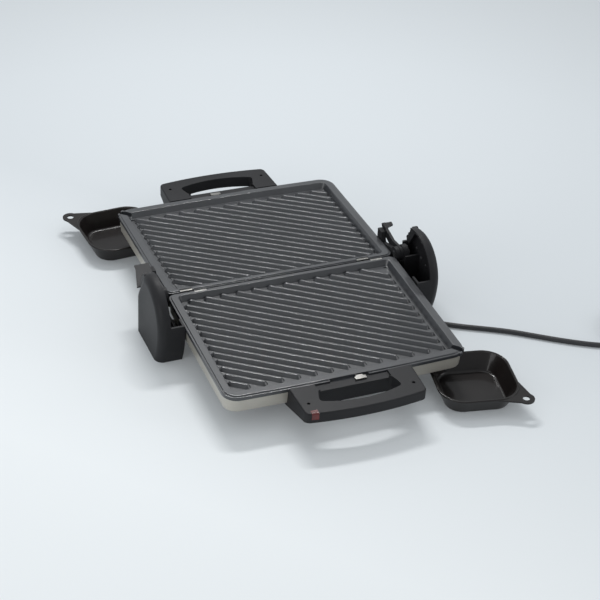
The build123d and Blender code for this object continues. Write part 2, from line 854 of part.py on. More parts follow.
def right_rest_arm(flange, spread, web_drop):
    """Arm that reaches back beside the opened lid, with a flange turned out at its tip."""
    tip_z = hinge_height + rest_arm_rise
    points = [
        (0, hinge_height + arm_boss_radius), (22, hinge_height + 7.5), (44, tip_z - 4),
        (rest_arm_reach - 3, tip_z), (rest_arm_reach, tip_z - 3), (rest_arm_reach - 6, tip_z - 12),
        (34, hinge_height - 2), (0, hinge_height - arm_boss_radius),
    ]
    web = extrude(Plane.YZ.offset(carriage_x) * make_face(Polyline(*points, close=True)), rest_arm_sheet)
    boss_end = (carriage_x + rest_arm_sheet, 0, hinge_height)
    web += rod(arm_boss_radius, (carriage_x, 0, hinge_height), boss_end)
    web -= rod(pin_radius, (carriage_x - 1, 0, hinge_height), (boss_end[0] + 1, 0, hinge_height))
    tip = rest_arm_sheet + flange
    root = rest_arm_sheet + spread
    edge = [(0, 0), (tip, 0), (tip, -rest_arm_flange_edge), (root, -web_drop), (0, -web_drop)]
    plate = extrude(make_face(Polyline(*edge, close=True)), rest_arm_flange_sheet)
    lean = degrees(asin(4 / 13.6))
    place = Pos(carriage_x, rest_arm_reach - 3, tip_z - rest_arm_flange_sheet)
    return web + place * Rot(lean - 2, 0, 0) * plate


def side_arm(shell):
    """Arm on a casing's side, from the hinge pin to the lug beside the rim, at +X of a level half."""
    inner = tower_inner_x + 0.1
    outer = inner + arm_sheet
    points = [
        (8, hinge_height - 4), (8, casing_bottom + 4), (-arm_length + 4, casing_bottom + 4),
        (-arm_length, casing_bottom + 8), (-arm_length, hinge_height + arm_lug_rise),
        (-arm_length + arm_lug, hinge_height + arm_lug_rise), (-arm_length + arm_lug + 5, rim_top - 3),
        (-4, rim_top + 6),
    ]
    arm = extrude(Plane.YZ.offset(inner) * make_face(Polyline(*points, close=True)), arm_sheet)
    arm += rod(arm_boss_radius, (inner, 0, hinge_height), (outer, 0, hinge_height))
    bore_radius = pin_radius + running_gap
    arm -= rod(bore_radius, (inner - 1, 0, hinge_height), (outer + 1, 0, hinge_height))
    z = casing_bottom + arm_screw_rise
    for y in (-arm_screw_near, -arm_screw_far):
        arm += rod(arm_screw_boss, (inner - 4, y, z), (inner, y, z)) - shell
    return arm


def side_arm_screws():
    """Two flush screws of one side arm."""
    outer = tower_inner_x + 0.1 + arm_sheet
    screws = []
    z = casing_bottom + arm_screw_rise
    head_end = outer - 0.2
    head_start = head_end - screw_head_height
    for y in (-arm_screw_near, -arm_screw_far):
        head = rod(arm_screw_head, (head_start, y, z), (head_end, y, z))
        shank = rod(arm_screw_shank, (outer - arm_screw_length, y, z), (head_start, y, z))
        screws.append(head + shank)
    return screws


def drip_pan(x, y, turn):
    """Square bowl with round corners and a flat hanging tab at one corner."""
    low = pan_low_width
    corner_low = pan_corner - (pan_width - low) / 2
    bowl = extrude(RectangleRounded(low, low, corner_low), pan_height, taper=-pan_slope)
    bowl = fillet(bowl.edges().group_by(Axis.Z)[0], 4.0)
    inside_low = low - 2 * pan_wall
    rise = pan_height - pan_wall
    inside = extrude(
        Pos(0, 0, pan_wall) * RectangleRounded(inside_low, inside_low, corner_low), rise, taper=-pan_slope
    )
    bowl -= fillet(inside.edges().group_by(Axis.Z)[0], 4.0)
    tab_z = pan_height - pan_wall
    reach = pan_tab_hole_reach
    root = reach - 34
    points = [(root, pan_tab_root), (reach, pan_tab_end_radius), (reach, -pan_tab_end_radius), (root, -pan_tab_root)]
    edges = [
        Line(points[0], points[1]),
        ThreePointArc(points[1], (reach + pan_tab_end_radius, 0), points[2]),
        Line(points[2], points[3]),
        Line(points[3], points[0]),
    ]
    tab = extrude(Pos(0, 0, tab_z) * Rot(0, 0, -45) * make_face(edges), pan_wall)
    hole = Rot(0, 0, -45) * Pos(reach, 0) * rod(pan_tab_hole_radius, (0, 0, tab_z - 1), (0, 0, pan_height + 1))
    space = extrude(
        Pos(0, 0, pan_wall) * RectangleRounded(inside_low, inside_low, corner_low), rise, taper=-pan_slope
    )
    return Pos(x, y) * Rot(0, 0, turn) * (bowl + (tab - space - hole))


def cord_route():
    """Points that the free cord runs through, from the gland to the coil."""
    return [
        (tub_half_length + gland_length, gland_y, gland_z),
        (tub_half_length + gland_length + 12, gland_y, gland_z),
        (158, -84, 12.6),
        (176, -91, 7.2),
        (196, -103, 3.8),
        (221, -117.5, 3.5),
        (248, -131.5, 3.5),
        (278, -148, 3.5),
        (306, -168, 3.5),
        (336, -189, 3.5),
        (367, -208, 3.5),
        (396, -221.5, 3.5),
        (425, -236, 3.5),
    ]


def arc_radii(points):
    """Radius of the arc at each inner point, as large as its two runs allow."""
    radii = []
    for before, here, after in zip(points, points[1:], points[2:]):
        first = Vector(*here) - Vector(*before)
        second = Vector(*after) - Vector(*here)
        turn = radians(first.get_angle(second))
        radii.append(0.45 * min(first.length, second.length) / tan(turn / 2))
    return radii


def tube(path, radius):
    """Round tube along a path."""
    return sweep(Plane(origin=path @ 0, z_dir=path % 0) * Circle(radius), path=path)


def free_cord():
    """Cord from the gland to the coil: straight runs joined by wide arcs."""
    points = cord_route()
    radii = arc_radii(points)
    path = FilletPolyline(*points, radius=radii)
    solid = tube(path, cord_radius)
    print("cord radii", [round(r) for r in radii])
    ratio = solid.volume / (path.length * pi * cord_radius**2)
    print("cord length", round(path.length, 1), "volume ratio", round(ratio, 4))
    return solid


def biarc(p0, t0, p1, t1):
    """Two tangent arcs between two points with given directions."""
    chord = p1 - p0
    both = t0 + t1
    a = 2 * (t0.dot(t1) - 1)
    b = -2 * chord.dot(both)
    c = chord.dot(chord)
    reach = (-b - sqrt(b * b - 4 * a * c)) / (2 * a)
    q0 = p0 + t0 * reach
    q1 = p1 - t1 * reach
    middle = (q0 + q1) * 0.5
    return [TangentArc(p0, middle, tangent=t0), TangentArc(middle, p1, tangent=q1 - q0)]


def coil_centre():
    """Middle of the coil, left of the direction in which the cord arrives."""
    points = cord_route()
    end = Vector(*points[-1])
    along = (end - Vector(*points[-2])).normalized()
    left = Vector(-along.Y, along.X)
    return end + along * cord_diameter + left * coil_outer_radius, along


def coil_point(turns):
    """Place and direction on the coil after a number of turns: in, up one layer and out."""
    centre, along = coil_centre()
    inward = min(turns, 2 * coil_half_turns_in - turns)
    radius = coil_outer_radius - coil_pitch * inward
    slope = -coil_pitch if turns < coil_half_turns_in else coil_pitch
    if turns == coil_half_turns_in:
        slope = 0.0
    climb = min(max((turns - coil_half_turns_in + 0.25) * 2, 0.0), 1.0)
    rise = coil_pitch * (1 - cos(pi * climb)) / 2
    rise_rate = coil_pitch * pi * sin(pi * climb) if 0 < climb < 1 else 0.0
    out = Vector(along.Y, -along.X).rotate(Axis.Z, 360 * turns)
    forward = Vector(along.X, along.Y).rotate(Axis.Z, 360 * turns)
    place = centre + out * radius + Vector(0, 0, rise)
    if turns in (0.0, 2 * coil_half_turns_in):
        slope = 0.0
    direction = forward * (2 * pi * radius) + out * slope + Vector(0, 0, rise_rate)
    return place, direction.normalized()


def cord_coil():
    """Put-away length of the cord: one tube that winds in, climbs a layer and winds out."""
    quarters = int(round(8 * coil_half_turns_in))
    stations = [coil_point(k / 4) for k in range(quarters + 1)]
    start, along = stations[0]
    edges = [Line(start - along * cord_diameter, start)]
    for (p0, t0), (p1, t1) in zip(stations, stations[1:]):
        edges += biarc(p0, t0, p1, t1)
    end, along = stations[-1]
    edges.append(Line(end, end + along * coil_tail))
    path = Wire(edges)
    solid = tube(path, cord_radius)
    count = 480
    samples = [path @ (k / count) for k in range(count + 1)]
    step = path.length / count
    skip = int(4 * cord_diameter / step)
    least = min(
        (samples[i] - samples[j]).length
        for i in range(count + 1)
        for j in range(i + skip, count + 1)
    )
    print("coil length", round(path.length, 1), "least gap", round(least - cord_diameter, 2))
    print("coil volume ratio", round(solid.volume / (path.length * pi * cord_radius**2), 4))
    return solid, end + along * coil_tail, along


def cord_tie():
    """Clip over the coil, open below, where both layers lie above each other."""
    centre, along = coil_centre()
    middle = coil_outer_radius - coil_pitch
    half = coil_pitch / 2 + cord_radius + tie_gap
    top = cord_radius * 2 + coil_pitch + fit_gap
    outer = half + tie_sheet
    strap = block(-tie_width / 2, tie_width / 2, -outer, outer, 0, top + tie_sheet)
    strap -= block(-tie_width, tie_width, -half, half, -1, top)
    strap = fillet(strap.edges().filter_by(Axis.X).group_by(Axis.Z)[-1], 1.2)
    turn = Vector(1, 0, 0).get_signed_angle(along, Vector(0, 0, 1))
    left = Vector(-along.Y, along.X)
    place = centre + left * middle
    return Pos(place.X, place.Y, 0) * Rot(0, 0, turn) * strap


def plug_solid(end, along):
    """Flat two-pin mains plug that lies beside the coil, with its tapered neck."""
    frame = Plane(origin=end, z_dir=along, x_dir=(-along.Y, along.X, 0))
    neck = extrude(frame * Circle(cord_radius + 1.2), plug_neck_length, taper=-6)
    shoulder = plug_neck_length - 1
    body = loft(
        [
            frame.offset(shoulder) * RectangleRounded(plug_width * 0.5, plug_height * 0.62, 6),
            frame.offset(shoulder + 14) * RectangleRounded(plug_width, plug_height, 9),
        ],
        ruled=True,
    )
    body += extrude(
        frame.offset(shoulder + 14) * RectangleRounded(plug_width, plug_height, 9), plug_body_length - 14
    )
    return neck + body


def plug_pins(end, along):
    """Two round plug pins, each with a thinner root inside the plug."""
    frame = Plane(origin=end, z_dir=along, x_dir=(-along.Y, along.X, 0))
    face = plug_neck_length - 1 + plug_body_length
    pins = []
    for side in (-1, 1):
        middle = Pos(side * plug_pin_spacing / 2, 0)
        pin = extrude(frame.offset(face) * middle * Circle(plug_pin_radius), plug_pin_length)
        root = extrude(
            frame.offset(face - plug_pin_root_length) * middle * Circle(plug_pin_root_radius),
            plug_pin_root_length,
        )
        pins.append(pin + root)
    return pins


def gland():
    """Strain relief: collar in the tub's wall, flange and tapered sleeve round the cord's start."""
    base_x = tub_half_length
    points = [
        (base_x - tub_wall - 2, 0), (base_x - tub_wall - 2, 5.5), (base_x, 5.5), (base_x, 6.4),
        (base_x + 2.5, 6.4), (base_x + 3.5, 6.0), (base_x + gland_length, cord_radius + 0.8),
        (base_x + gland_length, 0),
    ]
    half = make_face(Polyline(*points, close=True))
    return Pos(0, gland_y, gland_z) * revolve(half, Axis.X, 360)


def mirrored(shape):
    """The same piece on the other side of the grill."""
    return mirror(shape, about=Plane.YZ)


def build_half_pieces():
    """Pieces that both halves have, each made once and placed twice."""
    plate = grill_plate()
    save("lower_grill_plate", lower(plate))
    save("upper_grill_plate", upper(plate))
    tabs = plate_tabs()
    save("lower_plate_tabs", lower(tabs))
    save("upper_plate_tabs", upper(tabs))
    shield = heat_shield()
    save("base_heat_shield", lower(shield))
    save("lid_heat_shield", upper(shield))
    element = heating_element()
    save("lower_heating_element", lower(element))
    save("upper_heating_element", upper(element))
    clips = element_clips(element)
    save("lower_element_clips", lower(clips))
    save("upper_element_clips", upper(clips))
    screws = handle_screws()
    save("base_handle_screws", lower(screws))
    save("lid_handle_screws", upper(screws))
    catch = latch()
    save("lower_latch", lower(catch))
    save("upper_latch", upper(catch))


def build_base():
    """Casing, handle, lamp, underside and electrics of the base."""
    fixing = bottom_screws()
    shell = casing(False) - fixing
    save("base_casing", lower(shell))
    handle = bridge_handle()
    lens = (handle & lamp_pocket(0.15))
    save("indicator_lamp", lower(lens))
    save("base_handle", lower(handle - lamp_pocket(0.0)))
    fitting = gland()
    save("cord_gland", fitting)
    bottom = lower(base_bottom_solid() - fixing) - fitting
    save("base_bottom", bottom)
    save("base_bottom_screws", lower(fixing))
    screws = beam_screws()
    beam = cross_beam(bottom) - screws
    save("cross_beam", beam)
    save("tower_screws", Compound(children=screws))
    feet = [rod(foot_radius, (x, -foot_depth, 0), (x, -foot_depth, foot_height)) - bottom for x in (-foot_x, foot_x)]
    feet = [foot.solids().sort_by(Axis.Z)[0] for foot in feet]
    save("front_feet", Compound(children=feet))
    save("thermostat", lower(thermostat()))
    save("thermal_fuse", lower(thermal_fuse()))
    save("terminal_block", lower(terminal_block()))


def build_towers():
    """Both towers with their ratchets, pads, carriages, pins and rest arms."""
    screws = beam_screws()
    pads = tower_pads()
    right = right_tower_solid()
    sides = [("right", lambda shape: shape), ("left", mirrored)]
    for side, place in sides:
        tower = place(right)
        ratchet = place(ratchet_plate())
        for piece in [*screws, *pads, ratchet]:
            tower -= piece
        save(f"{side}_tower", tower)
        save(f"{side}_ratchet_plate", ratchet)
        save(f"{side}_hinge_carriage", place(right_carriage()))
        save(f"{side}_hinge_pin", place(right_pin()))
        arm = right_rest_arm(rest_arm_flange[side], rest_arm_spread[side], rest_arm_web[side])
        save(f"{side}_rest_arm", place(arm))
    save("tower_feet", Compound(children=pads))


def build_lid():
    """Casing, cover, handle, side arms and feet of the lid."""
    screws = side_arm_screws()
    all_screws = screws + [mirrored(screw) for screw in screws]
    fixing = cover_screws()
    whole = casing(True) - fixing
    arm = side_arm(whole)
    shell = whole
    for screw in all_screws:
        shell -= screw
        arm -= screw
    save("lid_casing", upper(shell))
    placed = upper(cover() - fixing)
    save("lid_cover", placed)
    save("lid_cover_screws", upper(fixing))
    save("lid_handle", upper(bridge_handle()))
    save("left_lid_arm", upper(arm))
    save("right_lid_arm", upper(mirrored(arm)))
    save("lid_arm_screws", upper(Compound(children=all_screws)))
    feet = []
    for x in (-lid_foot_x, lid_foot_x):
        for y in (lid_foot_near, lid_foot_far):
            foot = rod(lid_foot_radius, (x, y, 0), (x, y, lid_foot_height)) - placed
            feet.append(foot.solids().sort_by(Axis.Z)[0])
    save("lid_feet", Compound(children=feet))


def build_pans():
    """The two drip pans, each under the spout of its plate."""
    save("front_drip_pan", drip_pan(front_pan_x, front_pan_y, front_pan_turn))
    save("rear_drip_pan", drip_pan(rear_pan_x, rear_pan_y, rear_pan_turn))


def build_cord():
    """Free cord, coil, tie and plug."""
    save("cord", free_cord())
    coil, end, along = cord_coil()
    save("cord_coil", coil)
    save("cord_tie", cord_tie())
    plug = plug_solid(end, along)
    pins = plug_pins(end, along)
    for pin in pins:
        plug -= pin
    save("plug", plug)
    save("plug_pins", Compound(children=pins))


build_half_pieces()
build_base()
build_towers()
build_lid()
build_pans()
build_cord()
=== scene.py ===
import json
import math

import bmesh
import bpy
from mathutils import Matrix, Vector


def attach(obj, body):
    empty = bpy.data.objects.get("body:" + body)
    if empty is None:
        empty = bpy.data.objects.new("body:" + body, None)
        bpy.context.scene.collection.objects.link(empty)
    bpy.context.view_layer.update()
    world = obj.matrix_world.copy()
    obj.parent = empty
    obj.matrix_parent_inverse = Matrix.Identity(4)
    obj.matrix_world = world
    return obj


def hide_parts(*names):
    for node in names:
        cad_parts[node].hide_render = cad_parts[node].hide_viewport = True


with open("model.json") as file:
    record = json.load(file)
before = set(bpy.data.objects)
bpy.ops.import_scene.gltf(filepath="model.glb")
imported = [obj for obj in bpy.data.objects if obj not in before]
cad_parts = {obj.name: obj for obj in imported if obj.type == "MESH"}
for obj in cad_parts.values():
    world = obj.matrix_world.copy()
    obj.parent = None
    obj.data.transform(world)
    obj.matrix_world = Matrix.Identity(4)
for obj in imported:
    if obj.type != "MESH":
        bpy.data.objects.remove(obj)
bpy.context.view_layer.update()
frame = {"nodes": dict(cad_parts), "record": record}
nodes = frame["nodes"]
scene = bpy.context.scene
scene.view_settings.view_transform = "Standard"


# Places are written in mm from the hinge line on the table

HINGE_Y = 0.0155


def from_hinge_mm(point):
    x, y, z = point
    return Vector((x / 1000, y / 1000 + HINGE_Y, z / 1000))


# Camera

FOCAL_PX = 1729.0
IMAGE_PX = 600.0
SENSOR_MM = 36.0
AZIMUTH = -0.414
ELEVATION = 0.593
ROLL = 0.06
DISTANCE = 2.345
VIEW_LIMIT = 20.0
TARGET = Vector((0.0164, HINGE_Y - 0.0257, 0.030))


def make_camera():
    back = Vector(
        (
            math.sin(AZIMUTH) * math.cos(ELEVATION),
            -math.cos(AZIMUTH) * math.cos(ELEVATION),
            math.sin(ELEVATION),
        )
    )
    right = Vector((math.cos(AZIMUTH), math.sin(AZIMUTH), 0.0))
    up = back.cross(right)
    rolled_right = right * math.cos(ROLL) + up * math.sin(ROLL)
    rolled_up = up * math.cos(ROLL) - right * math.sin(ROLL)
    turn = Matrix((rolled_right, rolled_up, back)).transposed().to_4x4()
    data = bpy.data.cameras.new("camera")
    data.sensor_width = SENSOR_MM
    data.lens = SENSOR_MM * FOCAL_PX / IMAGE_PX
    data.clip_end = VIEW_LIMIT
    camera = bpy.data.objects.new("camera", data)
    camera.matrix_world = Matrix.Translation(TARGET + back * DISTANCE) @ turn
    scene.collection.objects.link(camera)
    scene.camera = camera


make_camera()


# Mains cord: its route over the table, then the put-away turns and the end in the plug

CORD_DIAMETER = 0.007
CORD_RADIUS = CORD_DIAMETER / 2
COIL_RADIUS = 0.044
COIL_PITCH = 0.008
COIL_TURNS_IN = 2.0
COIL_POINTS = 12
COIL_CLIMB_TURNS = 0.5
COIL_TAIL = 0.019
TAIL_MIDDLE = 0.45
CORD_ROUND_STEPS = 5
CORD_LENGTH_STEPS = 6
CORD_ROUTE_MM = [
    (131, -82, 15.0),
    (143, -82, 15.0),
    (158, -84, 12.6),
    (176, -91, 7.2),
    (196, -103, 3.8),
    (221, -117.5, 3.5),
    (248, -131.5, 3.5),
    (278, -148, 3.5),
    (306, -168, 3.5),
    (336, -189, 3.5),
    (367, -208, 3.5),
    (396, -221.5, 3.5),
    (425, -236, 3.5),
]


def coil_height(turns):
    """The cord climbs onto the outer turns half a turn round the middle of the coil."""
    climb = (turns - COIL_TURNS_IN + COIL_CLIMB_TURNS / 2) / COIL_CLIMB_TURNS
    climb = min(max(climb, 0.0), 1.0)
    return COIL_PITCH * (1 - math.cos(math.pi * climb)) / 2


def cord_points():
    route = [from_hinge_mm(p) for p in CORD_ROUTE_MM]
    along = (route[-1] - route[-2]).normalized()
    left = Vector((-along.y, along.x, 0.0))
    centre = route[-1] + along * CORD_DIAMETER + left * COIL_RADIUS
    spread = 1 / math.cos(math.pi / COIL_POINTS)
    turns_out = 2 * COIL_TURNS_IN
    points = list(route)
    for k in range(round(turns_out * COIL_POINTS)):
        turns = (k + 0.5) / COIL_POINTS
        inward = min(turns, turns_out - turns)
        radius = (COIL_RADIUS - COIL_PITCH * inward) * spread
        angle = 2 * math.pi * turns
        direction = -left * math.cos(angle) + along * math.sin(angle)
        place = centre + direction * radius
        place.z = CORD_RADIUS + coil_height(turns)
        points.append(place)
    end = centre - left * COIL_RADIUS
    end.z = CORD_RADIUS + COIL_PITCH
    points.append(end + along * COIL_TAIL * TAIL_MIDDLE)
    points.append(end + along * COIL_TAIL)
    return points


def make_cord():
    points = cord_points()
    data = bpy.data.curves.new("mains_cord", "CURVE")
    data.dimensions = "3D"
    data.bevel_depth = 1.0
    data.bevel_resolution = CORD_ROUND_STEPS
    data.use_fill_caps = True
    data.resolution_u = CORD_LENGTH_STEPS
    spline = data.splines.new("NURBS")
    spline.points.add(len(points) - 1)
    for point, place in zip(spline.points, points):
        point.co = (*place, 1.0)
        point.radius = CORD_RADIUS
    spline.order_u = 3
    spline.use_endpoint_u = True
    cord = bpy.data.objects.new("mains_cord", data)
    scene.collection.objects.link(cord)
    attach(cord, "base")
    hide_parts("cord", "cord_coil")
    return cord


cord = make_cord()


# Shader building

GRAIN_SHARE = 0.35
TONE_LOW = 0.3
TONE_HIGH = 0.7


def new_material(name):
    material = bpy.data.materials.new(name)
    material.use_nodes = True
    tree = material.node_tree
    shader = tree.nodes["Principled BSDF"]
    return material, tree, shader


def combine(tree, kind, operation, *sources):
    """Math node over the given outputs."""
    node = tree.nodes.new(kind)
    node.operation = operation
    for source, socket in zip(sources, node.inputs):
        tree.links.new(source, socket)
    return node


def ramp(tree, source, stops):
    node = tree.nodes.new("ShaderNodeValToRGB")
    for element, (place, colour) in zip(node.color_ramp.elements, stops):
        element.position = place
        element.color = (*colour, 1.0)
    tree.links.new(source, node.inputs["Fac"])
    return node.outputs["Color"]


def span(tree, source, low, high, start=0.0, end=1.0):
    """Values from start to end are spread over low to high."""
    node = tree.nodes.new("ShaderNodeMapRange")
    node.inputs["From Min"].default_value = start
    node.inputs["From Max"].default_value = end
    node.inputs["To Min"].default_value = low
    node.inputs["To Max"].default_value = high
    tree.links.new(source, node.inputs["Value"])
    return node.outputs["Result"]


def object_point(tree):
    return tree.nodes.new("ShaderNodeTexCoord").outputs["Object"]


def noise(tree, scale, detail, stretch=None):
    """Noise in object space; a stretch makes it longer where its factor is small."""
    node = tree.nodes.new("ShaderNodeTexNoise")
    node.inputs["Scale"].default_value = scale
    node.inputs["Detail"].default_value = detail
    place = object_point(tree)
    if stretch is not None:
        mapping = tree.nodes.new("ShaderNodeMapping")
        mapping.inputs["Scale"].default_value = stretch
        tree.links.new(place, mapping.inputs["Vector"])
        place = mapping.outputs["Vector"]
    tree.links.new(place, node.inputs["Vector"])
    return node.outputs["Fac"]


def bump(tree, shader, height, distance):
    node = tree.nodes.new("ShaderNodeBump")
    node.inputs["Distance"].default_value = distance
    node.inputs["Strength"].default_value = 1.0
    tree.links.new(height, node.inputs["Height"])
    tree.links.new(node.outputs["Normal"], shader.inputs["Normal"])


def textured(name, dark, light, rough, patches, grain, depth, metallic=0.0, stretch=None, shine=0.5):
    """Colour and roughness vary in soft patches; a fine grain gives the bump."""
    material, tree, shader = new_material(name)
    broad = noise(tree, patches, 4.0)
    fine = noise(tree, grain, 2.0, stretch)
    mixed = combine(tree, "ShaderNodeMath", "MULTIPLY_ADD", fine)
    mixed.inputs[1].default_value = GRAIN_SHARE
    tree.links.new(span(tree, broad, 0.0, 1 - GRAIN_SHARE), mixed.inputs[2])
    tone = mixed.outputs[0]
    colour = ramp(tree, tone, [(TONE_LOW, dark), (TONE_HIGH, light)])
    tree.links.new(colour, shader.inputs["Base Color"])
    tree.links.new(span(tree, tone, *rough, TONE_LOW, TONE_HIGH), shader.inputs["Roughness"])
    shader.inputs["Metallic"].default_value = metallic
    shader.inputs["Specular IOR Level"].default_value = shine
    bump(tree, shader, fine, depth)
    return material


def glossed(material, weight, roughness):
    """Clear top layer over a finish."""
    shader = material.node_tree.nodes["Principled BSDF"]
    shader.inputs["Coat Weight"].default_value = weight
    shader.inputs["Coat Roughness"].default_value = roughness
    return material


# Finishes, one for each material slot

black_plastic = textured(
    "black_plastic", (0.010, 0.010, 0.011), (0.020, 0.020, 0.022), (0.42, 0.54),
    patches=18.0, grain=1600.0, depth=0.00010, shine=0.20,
)
silver = textured(
    "silver_lacquer", (0.36, 0.34, 0.30), (0.48, 0.46, 0.41), (0.34, 0.46),
    patches=9.0, grain=1400.0, depth=0.00002, metallic=0.35, stretch=(0.04, 0.04, 1.0),
)
nonstick = textured(
    "nonstick_coating", (0.016, 0.017, 0.020), (0.030, 0.032, 0.037), (0.38, 0.48),
    patches=30.0, grain=1500.0, depth=0.00006, shine=0.40,
)
pan_black = textured(
    "pan_enamel", (0.006, 0.005, 0.005), (0.014, 0.011, 0.010), (0.30, 0.40),
    patches=16.0, grain=900.0, depth=0.00003, shine=0.15,
)
rubber = textured(
    "rubber", (0.018, 0.018, 0.019), (0.030, 0.030, 0.031), (0.6, 0.75),
    patches=40.0, grain=1500.0, depth=0.00006,
)
cord_rubber = textured(
    "cord_rubber", (0.014, 0.014, 0.016), (0.026, 0.026, 0.028), (0.34, 0.46),
    patches=60.0, grain=900.0, depth=0.00004,
)
steel = textured(
    "zinc_steel", (0.26, 0.26, 0.27), (0.36, 0.36, 0.37), (0.30, 0.45),
    patches=30.0, grain=900.0, depth=0.00002, metallic=1.0,
)
heater = textured(
    "heater_tube", (0.10, 0.095, 0.09), (0.18, 0.17, 0.16), (0.45, 0.6),
    patches=60.0, grain=900.0, depth=0.00003, metallic=0.9,
)
chrome = textured(
    "chrome", (0.17, 0.168, 0.16), (0.36, 0.35, 0.33), (0.26, 0.40),
    patches=90.0, grain=500.0, depth=0.00002, metallic=1.0,
)
switch = textured(
    "switch_plastic", (0.33, 0.29, 0.23), (0.42, 0.38, 0.31), (0.5, 0.6),
    patches=40.0, grain=1200.0, depth=0.00004,
)
brass = textured(
    "pin_metal", (0.56, 0.52, 0.43), (0.66, 0.62, 0.53), (0.18, 0.28),
    patches=60.0, grain=900.0, depth=0.00001, metallic=1.0,
)
lamp_red = textured(
    "lamp_lens", (0.055, 0.003, 0.003), (0.13, 0.006, 0.005), (0.14, 0.24),
    patches=120.0, grain=700.0, depth=0.00005,
)

SLOT_MATERIALS = {
    "nonstick": glossed(nonstick, 0.9, 0.07),
    "silver": glossed(silver, 0.25, 0.15),
    "black_plastic": black_plastic,
    "lamp_red": glossed(lamp_red, 0.15, 0.30),
    "chrome": chrome,
    "steel": steel,
    "heater": heater,
    "switch": switch,
    "pan_black": glossed(pan_black, 0.35, 0.10),
    "rubber": rubber,
    "cord_rubber": cord_rubber,
    "brass": brass,
}


def dress_nodes():
    slots = {entry["node"]: entry["material_slot"] for entry in frame["record"]["subparts"]}
    for name, node in nodes.items():
        material = SLOT_MATERIALS[slots[name]]
        if not node.material_slots:
            node.data.materials.append(material)
        for slot in node.material_slots:
            slot.material = material


dress_nodes()
cord.data.materials.append(cord_rubber)


# Meshes of the pieces that the solids leave out

UP = Vector((0.0, 0.0, 1.0))
ACROSS = Vector((0.0, 1.0, 0.0))


def finish_mesh(name, build, body, slot):
    mesh = bpy.data.meshes.new(name)
    bmesh.ops.recalc_face_normals(build, faces=build.faces)
    build.to_mesh(mesh)
    build.free()
    for polygon in mesh.polygons:
        polygon.use_smooth = True
    mesh.materials.append(SLOT_MATERIALS[slot])
    piece = bpy.data.objects.new(name, mesh)
    scene.collection.objects.link(piece)
    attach(piece, body)


def add_ring(build, centre, first, second, radius, sides):
    """Points of a circle in the plane of two unit directions."""
    ring = []
    for j in range(sides):
        angle = 2 * math.pi * j / sides
        reach = (first * math.cos(angle) + second * math.sin(angle)) * radius
        ring.append(build.verts.new(centre + reach))
    return ring


def bridge_rings(build, first, second):
    """Band of faces between two equal rings."""
    sides = len(first)
    for j in range(sides):
        k = (j + 1) % sides
        build.faces.new((first[j], first[k], second[k], second[j]))


def add_tube(build, path, radius, sides):
    """Round bar along a path that closes on itself."""
    rings = []
    for k, place in enumerate(path):
        ahead = path[(k + 1) % len(path)]
        along = (ahead - path[k - 1]).normalized()
        side = along.cross(UP)
        if side.length < 0.1:
            side = along.cross(ACROSS)
        side.normalize()
        rings.append(add_ring(build, place, side, side.cross(along), radius, sides))
    for k, ring in enumerate(rings):
        bridge_rings(build, ring, rings[(k + 1) % len(rings)])


def add_dome(build, centre, outward, radius, height, sides=16, levels=4):
    """Lens shaped head standing on an upright face."""
    side = outward.cross(UP).normalized()
    rings = []
    for level in range(levels):
        angle = math.pi / 2 * level / levels
        middle = centre + outward * height * math.sin(angle)
        reach = radius * math.cos(angle)
        rings.append(add_ring(build, middle, side, outward.cross(side), reach, sides))
    tip = build.verts.new(centre + outward * height)
    for first, second in zip(rings, rings[1:]):
        bridge_rings(build, first, second)
    for j in range(sides):
        build.faces.new((rings[-1][j], rings[-1][(j + 1) % sides], tip))
    build.faces.new(rings[0])


# Rolled rims of the drip pans

PAN_HALF_MM = 53.0
PAN_CORNER_MM = 32.0
PAN_BEAD_Z_MM = 24.5
PAN_BEAD_RADIUS = 0.0014
PAN_BEAD_SIDES = 10
CORNER_STEPS = 14
PANS = [
    {"body": "front_pan", "x": 168.5, "y": -249.5, "turn": math.radians(-10.5)},
    {"body": "rear_pan", "x": -161.0, "y": 231.0, "turn": math.radians(184.0)},
]


def pan_rim_path(x, y, turn):
    """Rounded square along the middle of a pan's upper edge."""
    straight = PAN_HALF_MM - PAN_CORNER_MM
    path = []
    for corner in range(4):
        start = math.pi / 2 * corner
        middle_x = straight * (1 if corner in (0, 3) else -1)
        middle_y = straight * (1 if corner in (0, 1) else -1)
        for k in range(CORNER_STEPS + 1):
            angle = start + math.pi / 2 * k / CORNER_STEPS
            local_x = middle_x + PAN_CORNER_MM * math.cos(angle)
            local_y = middle_y + PAN_CORNER_MM * math.sin(angle)
            turned_x = local_x * math.cos(turn) - local_y * math.sin(turn)
            turned_y = local_x * math.sin(turn) + local_y * math.cos(turn)
            path.append(from_hinge_mm((x + turned_x, y + turned_y, PAN_BEAD_Z_MM)))
    return path


def make_pan_rims():
    for pan in PANS:
        build = bmesh.new()
        path = pan_rim_path(pan["x"], pan["y"], pan["turn"])
        add_tube(build, path, PAN_BEAD_RADIUS, PAN_BEAD_SIDES)
        finish_mesh(pan["body"] + "_rim", build, pan["body"], "pan_black")


make_pan_rims()


# Rings of the cord's strain relief

GLAND_START_MM = 108.5
GLAND_END_MM = 131.0
GLAND_START_RADIUS_MM = 6.0
GLAND_END_RADIUS_MM = 4.3
GLAND_RINGS = 6
GLAND_FIRST_RING = 0.7
GLAND_BEAD_RADIUS = 0.0008
GLAND_BEAD_SIDES = 8
RING_SIDES = 28


